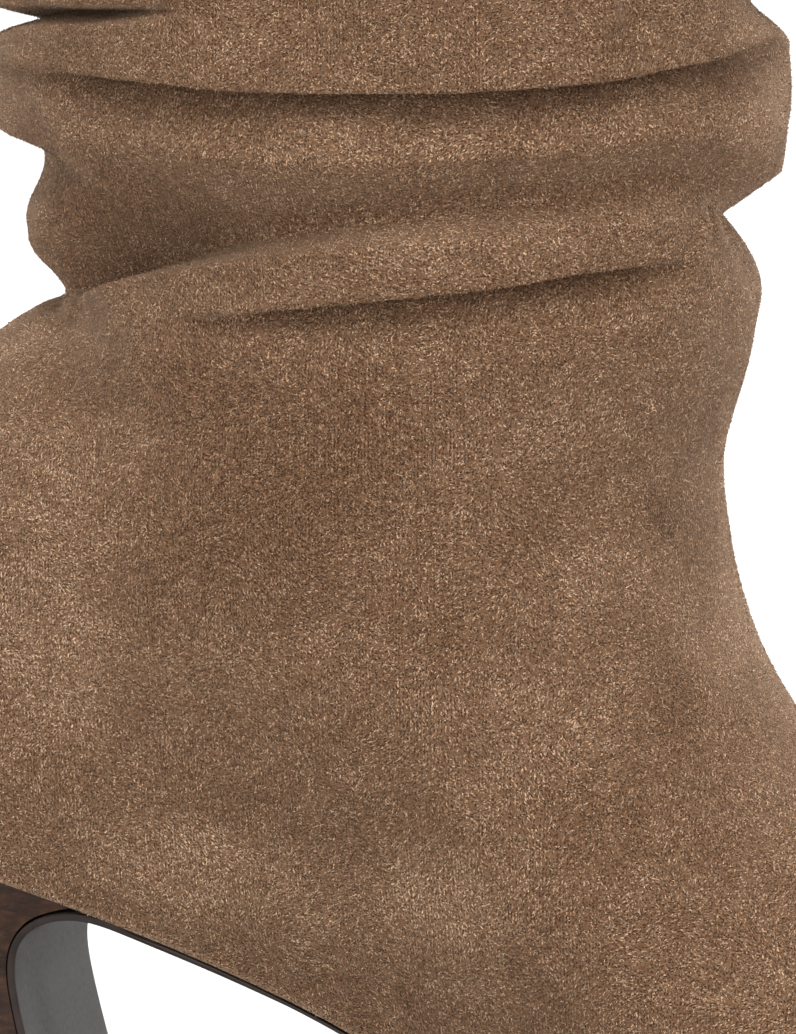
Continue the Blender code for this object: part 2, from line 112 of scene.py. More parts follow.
# Slouch folds, one groove a line that runs round the shaft: its height, its depth, and how
# far it reaches above and below the line
Groove = namedtuple("Groove", "name profile droop stations")
Station = namedtuple("Station", "angle z depth above below")
GROOVES = [
    Groove("crease_under_roll", "crease", 1.5, [
        Station(20, 130.5, 0.0, 2.0, 6),
        Station(50, 132.8, 0.0, 2.0, 7),
        Station(64, 134.2, 0.5, 1.9, 8),
        Station(75, 135.7, 2.4, 1.5, 10),
        Station(90, 138.2, 5.0, 1.2, 12),
        Station(105, 140.0, 5.6, 1.2, 13),
        Station(120, 141.4, 5.4, 1.2, 13),
        Station(135, 142.6, 4.4, 1.3, 11),
        Station(147, 142.7, 2.6, 1.6, 9),
        Station(158, 142.5, 0.6, 2.0, 7),
        Station(172, 142.0, 0.0, 2.0, 6),
        Station(225, 140.0, 0.0, 2.0, 8),
        Station(255, 139.0, 2.6, 1.8, 11),
        Station(285, 138.0, 2.6, 1.8, 11),
        Station(320, 135.0, 0.0, 2.0, 8),
    ]),
    Groove("trough_above_roll", "soft", 0.0, [
        Station(0, 134.6, 0.0, 8.0, 2.0),
        Station(18, 135.2, 0.2, 12.0, 1.8),
        Station(28, 136.3, 2.4, 15.0, 1.6),
        Station(36, 137.5, 5.6, 18.0, 1.6),
        Station(48, 139.8, 9.4, 19.0, 1.6),
        Station(57, 141.9, 10.0, 19.0, 1.8),
        Station(68, 144.2, 8.8, 16.0, 2.4),
        Station(80, 146.7, 7.2, 13.0, 2.8),
        Station(97, 149.6, 6.4, 10.0, 3.6),
        Station(111, 151.2, 6.0, 9.0, 4.2),
        Station(130, 153.2, 4.4, 8.2, 5.0),
        Station(146, 154.9, 3.8, 7.2, 6.0),
        Station(157, 154.2, 3.6, 6.6, 7.5),
        Station(167, 151.8, 3.0, 6.2, 9.0),
        Station(180, 149.5, 1.0, 6.0, 9.0),
        Station(196, 149.0, 0.0, 6.0, 9.0),
        Station(214, 149.5, 1.0, 6.0, 9.0),
        Station(235, 150.5, 4.0, 8.0, 8.0),
        Station(270, 151.0, 4.0, 8.0, 8.0),
        Station(305, 148.0, 4.2, 10.0, 6.0),
        Station(335, 139.0, 2.0, 9.0, 3.0),
    ]),
    Groove("notch_in_front", "notch", 0.0, [
        Station(150, 151.8, 0.0, 6.0, 12.0),
        Station(164, 149.8, 3.0, 6.0, 12.0),
        Station(180, 147.6, 7.0, 6.2, 12.7),
        Station(196, 147.0, 7.6, 6.2, 12.7),
        Station(212, 147.6, 6.6, 6.2, 12.7),
        Station(232, 149.8, 0.0, 6.0, 12.0),
    ]),
    Groove("neck_behind", "soft", 0.0, [
        Station(0, 155.8, 5.5, 3.0, 11.0),
        Station(20, 155.6, 5.4, 3.0, 11.0),
        Station(33, 154.6, 4.6, 4.0, 11.0),
        Station(45, 153.0, 2.4, 5.0, 10.0),
        Station(62, 151.0, 0.0, 5.0, 9.0),
        Station(295, 154.0, 0.0, 5.0, 9.0),
        Station(315, 155.0, 1.8, 4.0, 10.0),
        Station(338, 155.8, 4.8, 3.6, 11.0),
    ]),
    Groove("crease_under_top_fold", "crease", 1.6, [
        Station(0, 167.3, 1.4, 2.4, 9),
        Station(25, 167.5, 1.8, 2.2, 9),
        Station(41, 168.1, 2.6, 1.8, 9),
        Station(53, 168.8, 5.2, 1.3, 10),
        Station(62, 169.0, 6.2, 1.2, 11),
        Station(80, 168.7, 6.8, 1.1, 12),
        Station(103, 168.8, 6.8, 1.1, 12),
        Station(123, 169.4, 6.4, 1.2, 12),
        Station(135, 169.9, 5.8, 1.3, 11),
        Station(144, 170.9, 5.4, 1.4, 11),
        Station(151, 171.4, 5.2, 1.4, 11),
        Station(161, 171.6, 4.6, 2.4, 11),
        Station(175, 170.6, 3.0, 5.0, 11),
        Station(194, 169.8, 1.2, 6.5, 10),
        Station(215, 169.5, 2.4, 2.0, 10),
        Station(270, 168.0, 4.2, 1.8, 11),
        Station(320, 167.5, 2.8, 2.0, 10),
    ]),
    Groove("gap_at_top", "gap", 0.4, [
        Station(0, 172.8, 9.5, 3.1, 3.3),
        Station(22, 174.6, 10.0, 2.9, 3.1),
        Station(43, 176.8, 10.0, 2.1, 2.2),
        Station(52, 177.3, 9.0, 2.0, 2.1),
        Station(59, 177.9, 6.5, 2.0, 2.1),
        Station(66, 178.6, 2.6, 2.2, 2.4),
        Station(75, 179.4, 0.0, 2.2, 2.4),
        Station(152, 180.5, 0.0, 5.0, 7.0),
        Station(168, 179.4, 3.0, 5.5, 8.0),
        Station(182, 178.2, 7.7, 5.5, 9.5),
        Station(196, 177.3, 11.0, 5.5, 9.5),
        Station(214, 177.3, 6.7, 5.5, 9.5),
        Station(240, 177.0, 1.4, 5.5, 6.0),
        Station(290, 176.0, 1.4, 5.0, 5.5),
        Station(338, 170.6, 5.8, 3.4, 3.6),
    ]),
    Groove("fold_over_shaft", "soft", 0.0, [
        Station(0, 200.0, 4.0, 6.0, 11.0),
        Station(90, 195.0, 4.2, 6.0, 11.0),
        Station(180, 201.0, 4.6, 6.0, 11.0),
        Station(270, 197.0, 4.0, 6.0, 11.0),
    ]),
    Groove("fold_below_collar", "soft", 0.0, [
        Station(0, 220.0, 3.0, 8.0, 10.0),
        Station(90, 216.0, 3.6, 8.0, 10.0),
        Station(180, 221.0, 3.2, 8.0, 10.0),
        Station(270, 218.0, 3.4, 8.0, 10.0),
    ]),
]
# How grooves join where they cross, where folding sets in above the foot, and how lips and gaps close
GROOVE_BLEND = 3.0
FOLD_START = 118.0
FOLD_FULL = 131.0
LIP_REACH = 6.0
SHARP_POWER = 1.7
GAP_START = 0.1

# Short dents and ridges: where they start and end, half width and depth, ridges below zero
Mark = namedtuple("Mark", "angle z to_angle to_z half_width depth")
MARKS = [
    Mark(4.0, 138.9, 27.0, 139.8, 6.0, -1.2),
    Mark(0.0, 132.6, 22.0, 133.4, 5.5, -1.5),
    Mark(163.5, 149.2, 162.5, 147.4, 2.8, 1.1),
    Mark(158.5, 147.8, 156.0, 142.6, 2.4, -1.3),
    Mark(133.0, 181.5, 133.6, 177.6, 2.0, -1.5),
    Mark(137.0, 181.0, 137.4, 177.6, 2.0, 0.9),
]

# Slow waves of the leather between the folds: how many round the boot, height of one in mm, phase, depth
Wave = namedtuple("Wave", "around tall phase depth")
WAVES = [
    Wave(5, 46.0, 0.4, 0.35),
    Wave(9, 31.0, 2.1, 0.25),
    Wave(14, 22.0, 4.4, 0.14),
]
FOOT_WAVE_SHARE = 0.35

# Patches of brushed nap, with painted shade in folds and hollows and painted light where lamps fall short:
# centre in mm, how far each reaches along and up, and how much lighter or darker it is
NapAndPaintedLightPatch = namedtuple("NapAndPaintedLightPatch", "x y z wide tall strength")
NAP_AND_PAINTED_LIGHT_PATCHES = [
    NapAndPaintedLightPatch(42, -34, 87, 16, 19, 0.90),
    NapAndPaintedLightPatch(43, -36, 106, 14, 13, 0.30),
    NapAndPaintedLightPatch(41, -31, 116, 13, 8, 0.28),
    NapAndPaintedLightPatch(44, -34, 125, 13, 8, -0.45),
    NapAndPaintedLightPatch(62, -30, 56, 20, 11, 0.85),
    NapAndPaintedLightPatch(100, -37, 54, 20, 11, 0.60),
    NapAndPaintedLightPatch(117, -35, 80, 19, 16, 0.26),
    NapAndPaintedLightPatch(121, -28, 100, 22, 9, 0.28),
    NapAndPaintedLightPatch(131, 4, 113, 11, 10, 0.50),
    NapAndPaintedLightPatch(135, -3, 87, 12, 13, 0.40),
    NapAndPaintedLightPatch(118, -33, 121, 17, 12, 0.32),
    NapAndPaintedLightPatch(97, -42, 95, 13, 10, -0.10),
    NapAndPaintedLightPatch(34, -15, 129, 9, 8, 0.60),
    NapAndPaintedLightPatch(100, -42, 147, 34, 4.5, 0.28),
    NapAndPaintedLightPatch(126, -27, 148, 16, 5, 0.18),
    NapAndPaintedLightPatch(86, -45, 161, 30, 4.5, 0.04),
    NapAndPaintedLightPatch(139, -11, 160, 11, 10, 0.40),
    NapAndPaintedLightPatch(139, -12, 175, 11, 5, 0.30),
    NapAndPaintedLightPatch(139, -14, 168.5, 10, 5, -0.60),
    NapAndPaintedLightPatch(133, -17, 145, 4, 5, 0.30),
    NapAndPaintedLightPatch(64, -39, 126, 24, 12, -0.40),
    NapAndPaintedLightPatch(84, -43, 119, 26, 17, -0.38),
    NapAndPaintedLightPatch(128, -16, 107, 10, 6, -0.42),
    NapAndPaintedLightPatch(88, -36, 59, 8, 17, -0.34),
    NapAndPaintedLightPatch(133, -25, 73, 16, 14, -0.16),
    NapAndPaintedLightPatch(138, -6, 75, 14, 18, -0.60),
    NapAndPaintedLightPatch(131, -22, 82, 10, 9, -0.40),
    NapAndPaintedLightPatch(80, -34, 52, 36, 13, 0.30),
    NapAndPaintedLightPatch(56, -36, 148.5, 18, 10, -0.60),
    NapAndPaintedLightPatch(40, -24, 158, 9, 7, -0.75),
    NapAndPaintedLightPatch(72, -42, 104, 24, 22, -0.36),
    NapAndPaintedLightPatch(44, -34, 171, 14, 7, -0.25),
    NapAndPaintedLightPatch(43, -26, 150, 12, 8, -0.45),
    NapAndPaintedLightPatch(131, -8, 102, 9, 8, -0.45),
    NapAndPaintedLightPatch(123, -35, 67, 13, 12, -0.20),
]

# How finely the skin is divided: row height by height on the shaft
COLUMNS = 288
LEVEL_SAMPLES = 4000
RowHeight = namedtuple("RowHeight", "z height")
ROW_HEIGHTS = [
    RowHeight(0.0, 1.5),
    RowHeight(110.0, 1.2),
    RowHeight(124.0, 0.40),
    RowHeight(130.0, 0.33),
    RowHeight(181.0, 0.33),
    RowHeight(188.0, 1.1),
    RowHeight(240.0, 1.3),
]
BAND_WELD = 1e-7
SHORTEST = 1e-9

# The seam with the sole, the cut edge that carries no nap, the rolled collar edge and its facing
SEAM = 0.28
PLAIN_EDGE = (0.2, 1.5)
RIM_STEPS = 8
RIM_TURN_IN = 9.0
FACING_INSET = WALL + 0.4

# The lining: how far inside the skin, how much of a level it stops below the collar, and how far above and
# below each point it looks for a fold to keep clear of
LINING_COLUMNS = 120
LINING_ROWS = 110
LINING_INSET = WALL + 0.1
LINING_STOP = 0.12
LINING_SWEEP = np.arange(-3.0, 3.1, 0.25)

# Loose fibres of the nap: shortest and longest, flattest and steepest in degrees, thinnest and widest
Nap = namedtuple("Nap", "name count seed low_z high_z")
NAPS = [
    Nap("nap_foot", 150000, 11, 0.0, 120.0),
    Nap("nap_shaft", 180000, 12, 120.0, 245.0),
]
FIBRE_LENGTH = (0.20, 0.50)
FIBRE_LIFT = (10, 48)
FIBRE_WIDTH = (0.10, 0.18)
FIBRE_DROOP = 0.35
STRAY_SHARE = 0.012
STRAY_STRETCH = 3.0
STRAY_THIN = 1.4
DARK_LEANING = 2.6

# Copies of the solids: how they are welded, made quads and smoothed, and which faces look forward
SOLID_WELD = 1e-5
QUAD_BEND = 0.7
QUAD_SKEW = 0.9
BROKEN_EDGE = np.radians(38)
SHARP_EDGE = np.radians(50)
FORWARD = 0.6

# Where the sole's flap ends, and how far facets of its edge and face turn from straight
BREAST_END_X = 46.0
FLAP_EDGE = 0.6
SOLE_FACE = 0.92

# Fibres, and pits of painted shade between them, drawn on the skin, one a cell: cells a metre, where they
# start, half width and half length
Fleck = namedtuple("Fleck", "cells start width length")
FINE_FIBRES = Fleck(2350.0, (0, 0, 0), 0.12, 0.26)
LONGER_FIBRES = Fleck(1650.0, (0.31, 0.17, 0.23), 0.13, 0.37)
PAINTED_SHADE_PITS = Fleck(2100.0, (0.11, 0.43, 0.37), 0.15, 0.31)

# Colours of the suede
FIBRE_DARK = (0.50, 0.290, 0.166, 1)
FIBRE_LIGHT = (1.0, 0.718, 0.495, 1)
NAP_DARK = (0.055, 0.0258, 0.0124, 1)
NAP_LIGHT = (0.86, 0.592, 0.394, 1)
GROUND_DARK = (0.054, 0.0246, 0.0116, 1)
GROUND_LIGHT = (0.182, 0.0965, 0.0520, 1)
# painted shade of the pits between the fibres
PAINTED_PIT_SHADE = (0.022, 0.0096, 0.0044, 1)
SHEEN = (0.90, 0.66, 0.46, 1)
PLAIN = (0.215, 0.132, 0.082, 1)

# Colours of the other finishes
LINING_DARK = (0.36, 0.26, 0.18, 1)
LINING_LIGHT = (0.44, 0.33, 0.24, 1)
INSOLE_DARK = (0.26, 0.18, 0.12, 1)
INSOLE_LIGHT = (0.34, 0.25, 0.18, 1)
SATIN_DARK = (0.0345, 0.0296, 0.0274, 1)
SATIN_LIGHT = (0.0432, 0.0374, 0.0346, 1)
# painted highlight at the top of the breast
SATIN_PAINTED_HIGHLIGHT = (0.094, 0.0822, 0.0770, 1)
# painted dark reflection down the breast
PAINTED_DARK_REFLECTION = (0.015, 0.0128, 0.0116, 1)
EDGE_DARK = (0.012, 0.0068, 0.0052, 1)
EDGE_LIGHT = (0.028, 0.0165, 0.0125, 1)
STACK_DARK = (0.010, 0.0055, 0.0040, 1)
STACK_LIGHT = (0.110, 0.048, 0.0235, 1)
STACK_SEAM = (0.016, 0.010, 0.009, 1)
RUBBER_DARK = (0.014, 0.012, 0.012, 1)
RUBBER_LIGHT = (0.030, 0.027, 0.026, 1)

# A painted dark reflection band down the breast: its place across the heel, half width, and the heights where
# it starts and is full; above it a painted highlight turns the satin pale
DARK_REFLECTION_Y = -8.0
DARK_REFLECTION_REACH = 7.0
DARK_REFLECTION_TOP = 40.0
DARK_REFLECTION_FULL = 31.0
HIGHLIGHT_FROM = 41.0
HIGHLIGHT_FULL = 48.0

# Layers of the heel's stack: thickness, and how they tilt along the foot
STACK_LAYER = 3.4
STACK_SLOPE = 0.25

# Studio, in metres: where the camera stands round the boot, its floor, its glow and its lights
TARGET = Vector((-0.0406, 0.0, 0.1027))
CAMERA_AZIMUTH = np.radians(15)
CAMERA_ELEVATION = np.radians(8)
CAMERA_DISTANCE = 1.8
PIXELS_TALL = 1034
FOCAL_PIXELS = 12600
SENSOR = 36.0
FLOOR_SIZE = 14
PAPER_DARK = (0.60, 0.60, 0.60, 1)
PAPER_LIGHT = (0.62, 0.62, 0.62, 1)
SKY = (1.0, 0.94, 0.87, 1)
SKY_BRIGHT_SIDE = (0.45, -0.60, 0.66)
SKY_STRENGTH = (0.05, 0.38)
BACKDROP = Vector((0.0, 1.2, 0.0))
Lamp = namedtuple("Lamp", "name place aim size power")
LAMPS = [
    Lamp("key", (0.15, -1.00, 1.85), TARGET, 1.3, 35.5),
    Lamp("fill", (1.3, -1.3, 0.9), TARGET, 1.6, 12.0),
    Lamp("low", (-0.55, -1.8, 0.30), TARGET, 1.2, 13.5),
    Lamp("rim_front", (1.15, 1.4, 0.3), TARGET, 0.9, 21.0),
    Lamp("rim_back", (-1.5, 0.9, 0.7), TARGET, 1.0, 13.0),
    Lamp("backdrop", (0.1, 1.9, 2.4), BACKDROP, 2.2, 125.0),
]


def curve_through(stations, values):
    """A smooth curve through a table's rows that never overshoots them, level beyond its ends."""
    x = np.asarray(stations, float)
    y = np.asarray(values, float)
    step = np.diff(x)
    rise = np.diff(y) / step
    before, after = rise[:-1], rise[1:]
    steady = before * after > 0
    weight_a = 2 * step[1:] + step[:-1]
    weight_b = step[1:] + 2 * step[:-1]
    mean = weight_a / np.where(steady, before, 1) + weight_b / np.where(steady, after, 1)
    slope = np.zeros_like(y)
    slope[1:-1] = np.where(steady, (weight_a + weight_b) / mean, 0)
    slope[0], slope[-1] = rise[0], rise[-1]

    def curve(at):
        at = np.clip(at, x[0], x[-1])
        k = np.clip(np.searchsorted(x, at, side="right") - 1, 0, len(step) - 1)
        t = (at - x[k]) / step[k]
        start = (1 + 2 * t) * y[k] + t * step[k] * slope[k]
        end = (3 - 2 * t) * y[k + 1] + (t - 1) * step[k] * slope[k + 1]
        return (1 - t) ** 2 * start + t**2 * end

    return curve


def column_curves(rows, stations):
    return {name: curve_through(stations, [getattr(row, name) for row in rows]) for name in rows[0]._fields}


def smooth_step(t):
    t = np.clip(t, 0, 1)
    return t * t * (3 - 2 * t)


def round_off(t):
    return np.sqrt(1 - (1 - np.clip(t, 0, 1)) ** 2)


bottom_height = curve_through([p.x for p in BOTTOM_LINE], [p.z for p in BOTTOM_LINE])

Section = namedtuple(
    "Section",
    "back_x back_z front_x front_z heel waist_out waist_in ball_out ball_in toe round_back round_front",
)
WIDTHS = ("heel", "waist_out", "waist_in", "ball_out", "ball_in", "toe")


def upper_sections():
    """All sections from the sole to the collar in mm: the foot's shares made sizes, then the shaft's."""
    rows = []
    for foot in FOOT_SECTIONS:
        widths = {name: getattr(foot, name) * BALL_HALF_WIDTH for name in WIDTHS}
        rows.append(Section(
            back_x=foot.back_x * LENGTH,
            back_z=HEEL_HEIGHT + foot.back_rise * (TUCK_HEIGHT - HEEL_HEIGHT),
            front_x=foot.front_x * LENGTH,
            front_z=TOE_HEIGHT + foot.front_rise * (THROAT_HEIGHT - TOE_HEIGHT),
            round_back=foot.round_back,
            round_front=foot.round_front,
            **widths,
        ))
    for shaft in SHAFT_SECTIONS:
        radius = np.hypot(shaft.front_x - shaft.back_x, shaft.front_z - shaft.back_z) / 2
        widths = dict.fromkeys(WIDTHS, shaft.half_width)
        ends = (shaft.back_x, shaft.back_z, shaft.front_x, shaft.front_z)
        rows.append(Section(*ends, round_back=radius, round_front=radius, **widths))
    return rows


SECTION_ROWS = upper_sections()
THROAT_LEVEL = len(FOOT_SECTIONS)
COLLAR_LEVEL = len(SECTION_ROWS) - 1
SECTION = column_curves(SECTION_ROWS, range(len(SECTION_ROWS)))


def distance_to_line(x, z, line_x, line_z):
    """How far points are from a line of short straight pieces, seen from the side."""
    nearest = np.full(x.shape, np.inf)
    for from_x, from_z, to_x, to_z in zip(line_x, line_z, line_x[1:], line_z[1:]):
        run_x, run_z = to_x - from_x, to_z - from_z
        share = ((x - from_x) * run_x + (z - from_z) * run_z) / (run_x**2 + run_z**2)
        share = np.clip(share, 0, 1)
        apart = np.hypot(x - from_x - share * run_x, z - from_z - share * run_z)
        nearest = np.minimum(nearest, apart)
    return nearest


def side_view(level, along):
    """Where points of a level lie seen from the side, by their share of the way from back to front."""
    back_x, front_x = SECTION["back_x"](level), SECTION["front_x"](level)
    back_z, front_z = SECTION["back_z"](level), SECTION["front_z"](level)
    feather_chord = HEEL_HEIGHT + (TOE_HEIGHT - HEEL_HEIGHT) * along
    arch = bottom_height(LENGTH * along) - feather_chord
    arch_left = np.clip(1 - level / THROAT_LEVEL, 0, 1) ** ARCH_FADE
    x = back_x + (front_x - back_x) * along
    z = back_z + (front_z - back_z) * along + arch * arch_left
    return x, z


def side_height(level):
    """Height of each level half way along the side."""
    return side_view(level, 0.5)[1]


def full_half_width(x, level, side):
    """Half width of one side along the foot, before its ends are rounded."""
    heel = SECTION["heel"](level)
    waist = SECTION["waist_" + side](level)
    ball = SECTION["ball_" + side](level)
    toe = SECTION["toe"](level)
    to_waist = smooth_step((x - HEEL_STATION) / (WAIST_STATION - HEEL_STATION))
    to_ball = smooth_step((x - WAIST_STATION) / (BALL_STATION - WAIST_STATION))
    to_toe = np.clip((x - BALL_STATION) / (LENGTH - BALL_STATION), 0, 1) ** TOE_TAPER
    return heel + (waist - heel) * to_waist + (ball - waist) * to_ball + (toe - ball) * to_toe


def half_width(x, z, level, outer):
    """Half width at each point, rounded in towards the boot's front and back outlines."""
    line = np.linspace(0, COLLAR_LEVEL, OUTLINE_SAMPLES)
    from_front = distance_to_line(x, z, SECTION["front_x"](line), SECTION["front_z"](line))
    from_back = distance_to_line(x, z, SECTION["back_x"](line), SECTION["back_z"](line))
    ends = round_off(from_front / SECTION["round_front"](level))
    ends = ends * round_off(from_back / SECTION["round_back"](level))
    full = np.where(outer, full_half_width(x, level, "out"), full_half_width(x, level, "in"))
    return full * ends


def hollow(t):
    return 1 - smooth_step(t)


def under_lip(t):
    return (1 - t) ** SHARP_POWER


def straight(t):
    return 1 - t


def round_lip(t):
    return (1 - round_off(GAP_START + (1 - GAP_START) * t)) / (1 - round_off(GAP_START))


# How a groove closes above and below its line
PROFILES = {
    "soft": (hollow, hollow),
    "crease": (hollow, under_lip),
    "gap": (round_lip, round_lip),
    "notch": (straight, under_lip),
}


def round_curves(groove):
    """A groove's columns as curves of the angle that close on themselves."""
    rows = groove.stations
    before = [row._replace(angle=row.angle - 360) for row in rows[-2:]]
    after = [row._replace(angle=row.angle + 360) for row in rows[:2]]
    ring = before + rows + after
    return column_curves(ring, [row.angle for row in ring])


def folded_share(z):
    """0 on the foot, 1 where the shaft's folds have their full depth."""
    return smooth_step((z - FOLD_START) / (FOLD_FULL - FOLD_START))


def fold_shape(z, angle):
    """How deep the folds press in and how far their lips hang down, by height and angle in degrees."""
    deep = np.zeros(np.broadcast(z, angle).shape)
    hang = np.zeros_like(deep)
    for groove in GROOVES:
        curves = round_curves(groove)
        depth = curves["depth"](angle)
        above, below = curves["above"](angle), curves["below"](angle)
        away = z - curves["z"](angle)
        up = np.clip(away / above, 0, 1)
        down = np.clip(-away / below, 0, 1)
        shape_up, shape_down = PROFILES[groove.profile]
        shape = np.where(away > 0, shape_up(up), shape_down(down))
        deep += np.clip(depth * shape, 0, None) ** GROOVE_BLEND
        most = max(row.depth for row in groove.stations)
        lip = smooth_step(up) * (1 - smooth_step((away - above) / LIP_REACH))
        hang = np.maximum(hang, groove.droop * depth / most * lip)
    fade = folded_share(z)
    return deep ** (1 / GROOVE_BLEND) * fade, hang * fade


def mark_depth(z, angle, radius):
    """Short dents and ridges, by the distance from each one's line."""
    total = np.zeros(np.broadcast(z, angle).shape)
    mm_a_degree = radius * np.pi / 180
    for mark in MARKS:
        run_a, run_z = (mark.to_angle - mark.angle) * mm_a_degree, mark.to_z - mark.z
        off_a, off_z = (angle - mark.angle) * mm_a_degree, z - mark.z
        t = np.clip((off_a * run_a + off_z * run_z) / (run_a**2 + run_z**2), 0, 1)
        apart = np.hypot(off_a - t * run_a, off_z - t * run_z)
        total += mark.depth * smooth_step(1 - apart / mark.half_width)
    return total


def wave_depth(z, angle):
    """The slow waves, weaker on the foot than on the shaft."""
    total = np.zeros(np.broadcast(z, angle).shape)
    for wave in WAVES:
        turn = np.radians(angle) * wave.around
        total += wave.depth * np.sin(turn + wave.phase + 2 * np.pi * z / wave.tall)
    return total * (FOOT_WAVE_SHARE + (1 - FOOT_WAVE_SHARE) * folded_share(z))


def unit(directions):
    return directions / np.maximum(np.linalg.norm(directions, axis=-1, keepdims=True), SHORTEST)


def surface_normals(points):
    """Outward directions of a closed band of loops."""
    round_way = np.roll(points, -1, axis=1) - np.roll(points, 1, axis=1)
    up_way = np.gradient(points, axis=0)
    return unit(np.cross(round_way, up_way))


def upper_surface(levels, degrees, inset=0.0):
    """Points of the upper's outer face, or of a face inside it, a loop for each level.

    A face inside keeps clear of the deepest fold a little above and below each point.
    """
    level = np.asarray(levels, float)[:, None]
    degree = np.asarray(degrees, float)[None, :]
    angle = np.radians(degree)
    x, z = side_view(level, (1 - np.cos(angle)) / 2)
    outer = np.sin(angle) > 0
    half = half_width(x, z, level, outer)
    y = np.where(outer, -half, half)
    swing = TOE_SWING * (np.clip(x - SWING_START, 0, None) / (LENGTH - SWING_START)) ** 2

    back_x = SECTION["back_x"](level)
    radius_x = (SECTION["front_x"](level) - back_x) / 2
    push_x = (x - back_x - radius_x) / radius_x**2
    push_y = y / SECTION["heel"](level) ** 2
    steep = np.hypot(push_x, push_y)
    deep, hang = fold_shape(z, degree)
    deep = deep + mark_depth(z, degree, radius_x) + wave_depth(z, degree)
    points = np.stack([x, y + swing, z], axis=-1)
    if inset:
        points = points - surface_normals(points) * inset
        for step in LINING_SWEEP:
            deep = np.maximum(deep, fold_shape(z + step, degree)[0])
        hang = 0
    points[..., 0] -= push_x / steep * deep
    points[..., 1] -= push_y / steep * deep
    points[..., 2] -= hang
    return points


def skin_levels():
    """Levels of the skin's rows, close together where the folds are."""
    level = np.linspace(0, COLLAR_LEVEL, LEVEL_SAMPLES)
    side = side_height(level)
    height = curve_through([row.z for row in ROW_HEIGHTS], [row.height for row in ROW_HEIGHTS])(side)
    rows = np.concatenate([[0], np.cumsum(np.diff(side) / height[1:])])
    return np.interp(np.linspace(0, rows[-1], int(rows[-1]) + 1), rows, level)


def deselect_all():
    if bpy.context.object and bpy.context.object.mode != "OBJECT":
        bpy.ops.object.mode_set(mode="OBJECT")
    bpy.ops.object.select_all(action="DESELECT")


def make_active(piece):
    deselect_all()
    piece.select_set(True)
    bpy.context.view_layer.objects.active = piece


def edit_all(piece):
    make_active(piece)
    bpy.ops.object.mode_set(mode="EDIT")
    bpy.ops.mesh.select_all(action="SELECT")


def apply_modifiers(piece):
    make_active(piece)
    for modifier in list(piece.modifiers):
        bpy.ops.object.modifier_apply(modifier=modifier.name)


def vertex_vectors(mesh, name):
    """Places or normals of a mesh's points, one a row."""
    flat = np.empty(len(mesh.vertices) * 3)
    mesh.vertices.foreach_get(name, flat)
    return flat.reshape(-1, 3)


def store(mesh, name, values):
    mesh.attributes.new(name, "FLOAT", "POINT").data.foreach_set("value", values)


def nap_and_painted_light(points):
    """How much lighter or darker the patches leave the nap, point by point: brushed nap with painted shade
    and painted light.
    """
    total = np.zeros(len(points))
    for nap_and_light_patch in NAP_AND_PAINTED_LIGHT_PATCHES:
        away = points / MM + (ORIGIN_X, 0, 0) - (nap_and_light_patch.x, nap_and_light_patch.y, nap_and_light_patch.z)
        apart = np.linalg.norm(away / (nap_and_light_patch.wide, nap_and_light_patch.wide, nap_and_light_patch.tall), axis=1)
        total += nap_and_light_patch.strength * smooth_step(1 - apart)
    return total


def band_mesh(name, points):
    """A grid whose rows become closed loops: the first and last columns meet and are welded.

    Its points carry their way up from the first loop in mm, and how light the nap is brushed there, with
    painted shade and painted light.
    """
    closed = np.concatenate([points, points[:, :1]], axis=1)
    rows, columns = closed.shape[:2]
    deselect_all()
    bpy.ops.mesh.primitive_grid_add(x_subdivisions=columns - 1, y_subdivisions=rows - 1, size=1)
    piece = bpy.context.object
    piece.name = name
    piece.data.name = name
    grid = vertex_vectors(piece.data, "co")
    column = np.rint((grid[:, 0] + 0.5) * (columns - 1)).astype(int)
    row = np.rint((grid[:, 1] + 0.5) * (rows - 1)).astype(int)
    placed = (closed[row, column] - (ORIGIN_X, 0, 0)) * MM
    piece.data.vertices.foreach_set("co", placed.ravel())
    way_up = np.linalg.norm(np.diff(closed, axis=0, prepend=closed[:1]), axis=-1).cumsum(axis=0)
    store(piece.data, "rise", way_up[row, column])
    # the patches: brushed nap with painted shade and painted light
    store(piece.data, "nap_and_painted_light", nap_and_painted_light(placed))
    piece.data.update()
    edit_all(piece)
    bpy.ops.mesh.remove_doubles(threshold=BAND_WELD)
    bpy.ops.object.mode_set(mode="OBJECT")
    bpy.ops.object.shade_smooth()
    return piece


def make_upper_suede():
    """The suede skin from the feather line, over the rolled collar edge and a little way down inside."""
    levels = skin_levels()
    degrees = np.linspace(0, 360, COLUMNS, endpoint=False)
    skin = upper_surface(levels, degrees)
    skin[0] -= (0, 0, SEAM)
    normal = surface_normals(skin)[-1]
    normal[:, 2] = 0
    normal = unit(normal)
    radius = WALL / 2
    rim = []
    for turn in np.linspace(0, np.pi, RIM_STEPS + 1)[1:]:
        rim.append(skin[-1] - normal * radius * (1 - np.cos(turn)) + (0, 0, radius * np.sin(turn)))
    below_rim = side_height(levels) > side_height(COLLAR_LEVEL) - RIM_TURN_IN
    facing = upper_surface(levels[below_rim][:-1], degrees, FACING_INSET)[::-1]
    return band_mesh("upper_suede", np.concatenate([skin, rim, facing]))


def make_upper_lining():
    """The lining, from the feather line's inner edge up to the turned-in collar."""
    levels = np.linspace(0, COLLAR_LEVEL - LINING_STOP, LINING_ROWS)
    degrees = np.linspace(0, 360, LINING_COLUMNS, endpoint=False)
    inner = upper_surface(levels, degrees, LINING_INSET)
    foot = upper_surface(levels[:1], degrees) - (0, 0, SEAM)
    return band_mesh("upper_lining", np.concatenate([foot, inner])[::-1])


